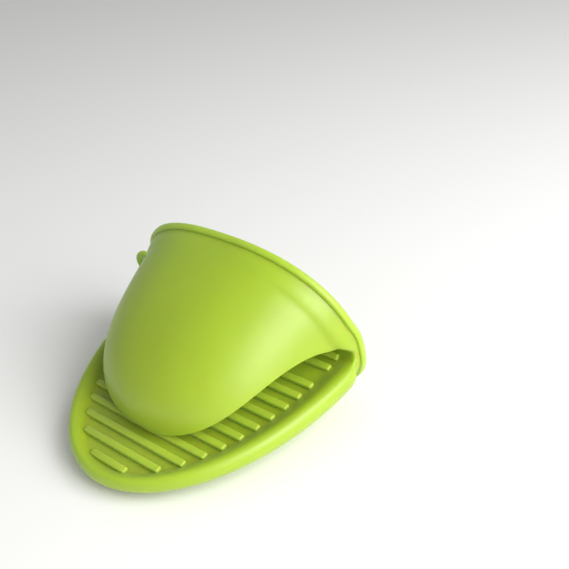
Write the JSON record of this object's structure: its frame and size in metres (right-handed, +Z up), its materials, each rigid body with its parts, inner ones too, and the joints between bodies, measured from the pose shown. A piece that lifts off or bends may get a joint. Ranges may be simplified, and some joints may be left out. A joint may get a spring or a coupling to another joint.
{
  "type": "oven mitt",
  "caption": "Short silicone pinch mitt with a wide ribbed finger pocket, a domed thumb pocket, an oval cuff with a bead and a hanging loop.",
  "frame": {"origin": "centre of the flat patch on the back of the finger pocket, which the mitt lies on", "axes": "+Z up, away from the surface that it lies on; -Y towards the finger tip; the hanging loop is on the -X side"},
  "size_m": [0.1267, 0.0997, 0.0704],
  "materials": {
    "silicone": "satin, slightly translucent moulded silicone, lime green"
  },
  "bodies": {
    "finger_side": {"cuff_bead_finger": "silicone", "finger_shell": "silicone", "grip_panel": "silicone", "grip_rib_01": "silicone", "grip_rib_02": "silicone", "grip_rib_03": "silicone", "grip_rib_04": "silicone", "grip_rib_05": "silicone", "grip_rib_06": "silicone", "grip_rib_07": "silicone", "grip_rib_08": "silicone", "grip_rib_09": "silicone", "grip_rib_10": "silicone", "grip_rib_11": "silicone", "grip_rib_12": "silicone", "grip_rib_13": "silicone", "hanging_loop": "silicone", "mouth_web_lower": "silicone", "panel_border": "silicone"},
    "thumb_side": {"cuff_bead_thumb": "silicone", "mouth_web_upper": "silicone", "thumb_panel": "silicone", "thumb_rib_01": "silicone", "thumb_rib_02": "silicone", "thumb_rib_03": "silicone", "thumb_rib_04": "silicone", "thumb_rib_05": "silicone", "thumb_rib_06": "silicone", "thumb_rib_07": "silicone", "thumb_shell": "silicone"}
  },
  "joints": [
    {"name": "pinch", "type": "hinge", "parent": "finger_side", "child": "thumb_side", "pos_m": [0, 0.03584, 0.02852], "axis": [-1, 0, 0], "range_deg": [-1, 20], "stiffness_Nm_per_rad": 0.9, "springref_deg": 0.8}
  ]
}
